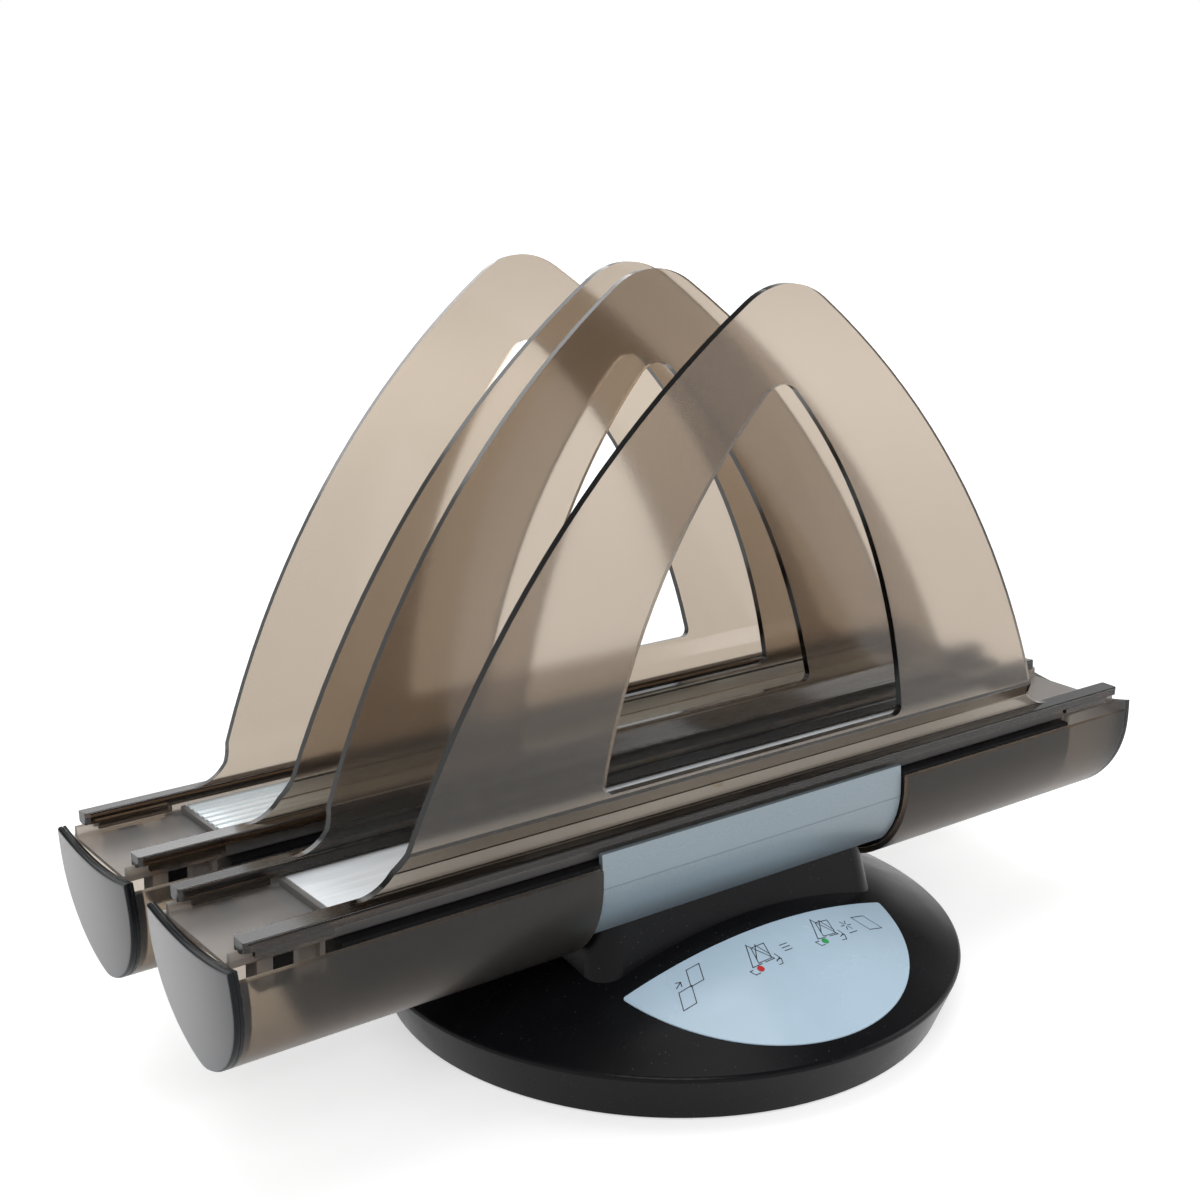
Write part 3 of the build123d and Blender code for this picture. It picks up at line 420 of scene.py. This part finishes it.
def silver_lacquer():
    """Satin silver paint with fine flakes."""
    color = SILVER_COLOR
    finish = Finish("silver_lacquer", color, 0.40, metallic=0.30, ior=1.5, coat=0.10)
    finish.set("Coat Roughness", 0.3)
    grain_node = finish.group(GRAIN, grain_scale=2400.0, flow_scale=18.0)
    flakes = finish.span(grain_node.outputs["Height"], 0.0, 1.0, 0.35, 0.7)
    finish.connect(finish.mix_color(flakes, tint(color, 0.90), tint(color, 1.10)), "Base Color")
    finish.connect(finish.span(grain_node.outputs["Flow"], 0.34, 0.44, 0.3, 0.7), "Roughness")
    finish.bump(grain_node.outputs["Height"], 0.00001, 0.4)
    return finish.material


def plate_metal(name, color, roughness, stretch):
    """Anodised aluminium with fine lines along the plate."""
    finish = Finish(name, color, roughness, metallic=0.4)
    nodes, links = finish.nodes, finish.links
    place = nodes.new("ShaderNodeTexCoord")
    scale = nodes.new("ShaderNodeMapping")
    scale.inputs["Scale"].default_value = (stretch, 900.0, 900.0)
    lines = nodes.new("ShaderNodeTexNoise")
    lines.inputs["Scale"].default_value = 1.0
    lines.inputs["Detail"].default_value = 5.0
    links.new(place.outputs["Object"], scale.inputs["Vector"])
    links.new(scale.outputs["Vector"], lines.inputs["Vector"])
    spread = finish.span(lines.outputs["Fac"], 0.0, 1.0, 0.3, 0.7)
    finish.connect(finish.mix_color(spread, tint(color, 0.93), tint(color, 1.03)), "Base Color")
    finish.connect(finish.span(lines.outputs["Fac"], roughness - 0.06, roughness + 0.08, 0.3, 0.7), "Roughness")
    finish.bump(lines.outputs["Fac"], 0.000008, 0.5)
    return finish.material


def plain_part(name, color, roughness, metallic=0.0, grain_scale=900.0, depth=0.00002):
    """Small parts: an even colour with a fine grain and slight variation."""
    finish = Finish(name, color, roughness, metallic=metallic)
    grain_node = finish.group(GRAIN, grain_scale=grain_scale, flow_scale=60.0)
    spread = finish.span(grain_node.outputs["Flow"], 0.0, 1.0, 0.3, 0.7)
    finish.connect(finish.mix_color(spread, tint(color, 0.85), tint(color, 1.1)), "Base Color")
    finish.connect(finish.span(grain_node.outputs["Flow"], roughness - 0.05, roughness + 0.07), "Roughness")
    finish.bump(grain_node.outputs["Height"], depth, 0.5)
    return finish.material


def label_film():
    """Pale blue-white glossy film with a faint mottle from its print."""
    color = LABEL_COLOR
    finish = Finish("label_film", color, 0.26, ior=1.5, coat=0.08)
    finish.set("Coat Roughness", 0.12)
    grain_node = finish.group(GRAIN, grain_scale=1800.0, flow_scale=30.0)
    spread = finish.span(grain_node.outputs["Flow"], 0.0, 1.0, 0.3, 0.7)
    finish.connect(finish.mix_color(spread, tint(color, 0.95), tint(color, 1.04)), "Base Color")
    finish.connect(finish.span(grain_node.outputs["Flow"], 0.20, 0.32), "Roughness")
    finish.bump(grain_node.outputs["Height"], 0.000006, 0.3)
    return finish.material


SUPPORT_PLASTIC = smoked_sheet()
TRAY_PLASTIC = smoked_plastic("smoked_tray", (0.68, 0.67, 0.66), 0.20, 0.38).material
SHELL_PLASTIC = smoked_plastic("smoked_shell", (0.78, 0.79, 0.79), 0.03, 0.30).material
CAP_PLASTIC = smoked_cap()
BLACK = black_plastic("satin_black", (0.005, 0.005, 0.006), 0.30, 700.0, 0.00003)
FRAME_BLACK = black_plastic("frame_black", (0.006, 0.006, 0.007), 0.45, 500.0, 0.00005)
SILVER = silver_lacquer()
HEATING_METAL = plate_metal("heating_plate_metal", (0.90, 0.94, 0.97), 0.46, 30.0)
COOLING_METAL = plate_metal("ribbed_metal", (0.88, 0.93, 0.95), 0.42, 12.0)
LABEL = label_film()
STEEL = plain_part("plated_steel", (0.62, 0.62, 0.63), 0.3, 1.0, 1500.0, 0.000008)
BRASS = plain_part("plain_brass", (0.72, 0.55, 0.26), 0.28, 1.0, 1500.0, 0.000008)
RUBBER = plain_part("foot_rubber", (0.03, 0.03, 0.03), 0.75, 0.0, 1100.0, 0.00005)
FILM = plain_part("heater_film", (0.42, 0.16, 0.04), 0.4)
LAMINATE = plain_part("board_laminate", (0.02, 0.16, 0.07), 0.35)
COMPONENT = plain_part("component_black", (0.02, 0.02, 0.022), 0.45)
IRON = plain_part("core_iron", (0.20, 0.20, 0.21), 0.5, 0.8)
WIRE = plain_part("wire_red", (0.40, 0.03, 0.02), 0.45)

DRESS = {
    SUPPORT_PLASTIC: ("heating_front_support", "heating_rear_support",
                      "cooling_front_support", "cooling_rear_support"),
    SHELL_PLASTIC: ("front_right_shell", "front_left_shell", "rear_right_shell", "rear_left_shell"),
    CAP_PLASTIC: ("front_right_end_cap", "front_left_end_cap",
                  "rear_right_end_cap", "rear_left_end_cap"),
    TRAY_PLASTIC: ("front_tray", "rear_tray"),
    SILVER: ("front_band", "rear_band"),
    FRAME_BLACK: ("front_frame", "rear_frame", "front_end_blocks", "rear_end_blocks"),
    HEATING_METAL: ("heating_plate",),
    COOLING_METAL: ("cooling_plate",),
    BLACK: ("base_shell", "bottom_plate", "power_rocker"),
    LABEL: ("base_label",),
    STEEL: ("heat_shield", "thermostat", "thermal_fuse", "plunger_spring",
            "base_screws", "frame_screws"),
    BRASS: ("start_plunger",),
    RUBBER: ("rubber_feet",),
    FILM: ("heater_element",),
    LAMINATE: ("power_board", "control_board"),
    COMPONENT: ("start_switch", "relay", "control_chip", "power_inlet", "switch_housing"),
    IRON: ("transformer",),
    WIRE: ("heater_leads",),
}


def dress_nodes():
    for material, names in DRESS.items():
        for name in names:
            for place in NODES[name].material_slots:
                place.material = material


# ------------------------------------------------------------------ print on the label
DOME_CENTRE_Z = -190.5       # sphere that the label lies on, in mm
LABEL_TOP = 234.4
PRINT_LIFT = 0.04
PRINT_WIDTH = 0.34


def on_label(x, y, lift=PRINT_LIFT):
    """A point over the label's upper face, in metres."""
    z = DOME_CENTRE_Z + math.sqrt((LABEL_TOP + lift)**2 - x * x - y * y)
    return Vector((x, y, z)) * MM


def ribbon(points, width, closed=False):
    """Flat quads along a path on the label; returns vertices and faces."""
    path = list(points) + ([points[0]] if closed else [])
    verts, faces = [], []
    for (x0, y0), (x1, y1) in zip(path, path[1:]):
        length = math.hypot(x1 - x0, y1 - y0)
        if length == 0:
            continue
        along = ((x1 - x0) / length * width / 2, (y1 - y0) / length * width / 2)
        side = (-along[1], along[0])
        start = len(verts)
        for x, y, way in ((x0, y0, -1), (x1, y1, 1)):
            for turn in (1, -1):
                verts.append(on_label(x + way * along[0] + turn * side[0],
                                      y + way * along[1] + turn * side[1]))
        faces.append((start, start + 1, start + 3, start + 2))
    return verts, faces


def disc(x, y, radius, count=20):
    ring = [(x + radius * math.cos(2 * math.pi * k / count),
             y + radius * math.sin(2 * math.pi * k / count)) for k in range(count)]
    return [on_label(*point, lift=2 * PRINT_LIFT) for point in ring], [tuple(range(count))]


def moved(points, x, y, size=1.0, slant=0.0):
    return [(x + size * (px + slant * py), y + size * py) for px, py in points]


def arch_sketch(count=9):
    """A small pointed arch drawn over its bar."""
    rises = [math.sin(math.pi / 2 * k / count) for k in range(count)]
    left = [(-4.0 + 4.0 * rise, 7.5 * rise) for rise in rises]
    return left + [(0, 7.7)] + [(-x, y) for x, y in reversed(left)]


SHEET = [(-3, 0), (3, 0), (3, 7), (-3, 7)]
TROUGH = [(-6, -0.8), (6, -0.8), (5.2, -2.6), (-5.2, -2.6)]


def print_paths():
    """Generic drawings: sheets go in a cover, it heats, it cools, it is done."""
    closed, open_ = [], []
    closed.append(moved(SHEET, -45.5, -68.6, 0.9, 0.5))
    closed.append(moved(SHEET, -37.5, -62.6, 0.9, 0.5))
    open_.append([(-44.5, -60.5), (-41.8, -59.2), (-42.6, -60.8)])
    open_.append([(-41.8, -59.2), (-43.4, -58.6)])
    for x, y in ((-12.5, -67.0), (18.5, -65.6)):
        closed.append(moved(arch_sketch(), x, y, 1.2))
        open_.append(moved(arch_sketch()[1:-1], x + 1.6, y + 1.0, 0.9, 0.2))
        closed.append(moved(TROUGH, x, y, 1.15))
        closed.append(moved(SHEET, x + 1.2, y + 0.6, 0.95, 0.35))
        open_.append([(x + 4.6, y - 1.4), (x + 6.8, y - 0.4), (x + 6.2, y + 1.6)])
    for turn in range(6):
        way = (math.cos(math.pi / 3 * turn), math.sin(math.pi / 3 * turn))
        open_.append([(30.0 + 0.8 * way[0], -62.6 + 0.8 * way[1]),
                      (30.0 + 2.3 * way[0], -62.6 + 2.3 * way[1])])
    for row in range(3):
        open_.append([(-1.8, -63.0 - 1.4 * row), (1.4, -63.0 - 1.4 * row)])
    open_.append([(28.2, -66.4), (32.0, -66.0)])
    closed.append(moved(SHEET, 41.0, -66.4, 1.0, -0.35))
    return closed, open_


def flat_ink(name, color, roughness=0.35):
    """Printed ink with slight unevenness."""
    finish = Finish(name, color, roughness)
    grain_node = finish.group(GRAIN, grain_scale=2600.0, flow_scale=240.0)
    spread = finish.span(grain_node.outputs["Flow"], 0.0, 1.0, 0.3, 0.7)
    finish.connect(finish.mix_color(spread, tint(color, 0.8), tint(color, 1.15)), "Base Color")
    return finish.material


def add_print(name, shapes, material):
    verts, faces = [], []
    for shape_verts, shape_faces in shapes:
        start = len(verts)
        verts += shape_verts
        faces += [tuple(start + index for index in face) for face in shape_faces]
    mesh = bpy.data.meshes.new(name)
    mesh.from_pydata(verts, [], faces)
    mesh.materials.append(material)
    thing = bpy.data.objects.new(name, mesh)
    bpy.context.scene.collection.objects.link(thing)
    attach(thing, "root")


def make_label_print():
    closed, open_ = print_paths()
    shapes = [ribbon(path, PRINT_WIDTH, closed=True) for path in closed]
    shapes += [ribbon(path, PRINT_WIDTH) for path in open_]
    add_print("label_drawings", shapes, flat_ink("dark_ink", (0.03, 0.032, 0.036)))
    add_print("label_hot_mark", [disc(-15.2, -68.6, 1.3)], flat_ink("red_ink", (0.55, 0.02, 0.02)))
    add_print("label_cool_mark", [disc(15.6, -67.2, 1.3)], flat_ink("green_ink", (0.03, 0.32, 0.08)))


bpy.context.scene.view_settings.view_transform = "Standard"
make_camera()
make_world()
make_lamps()
make_floor()
dress_nodes()
make_label_print()
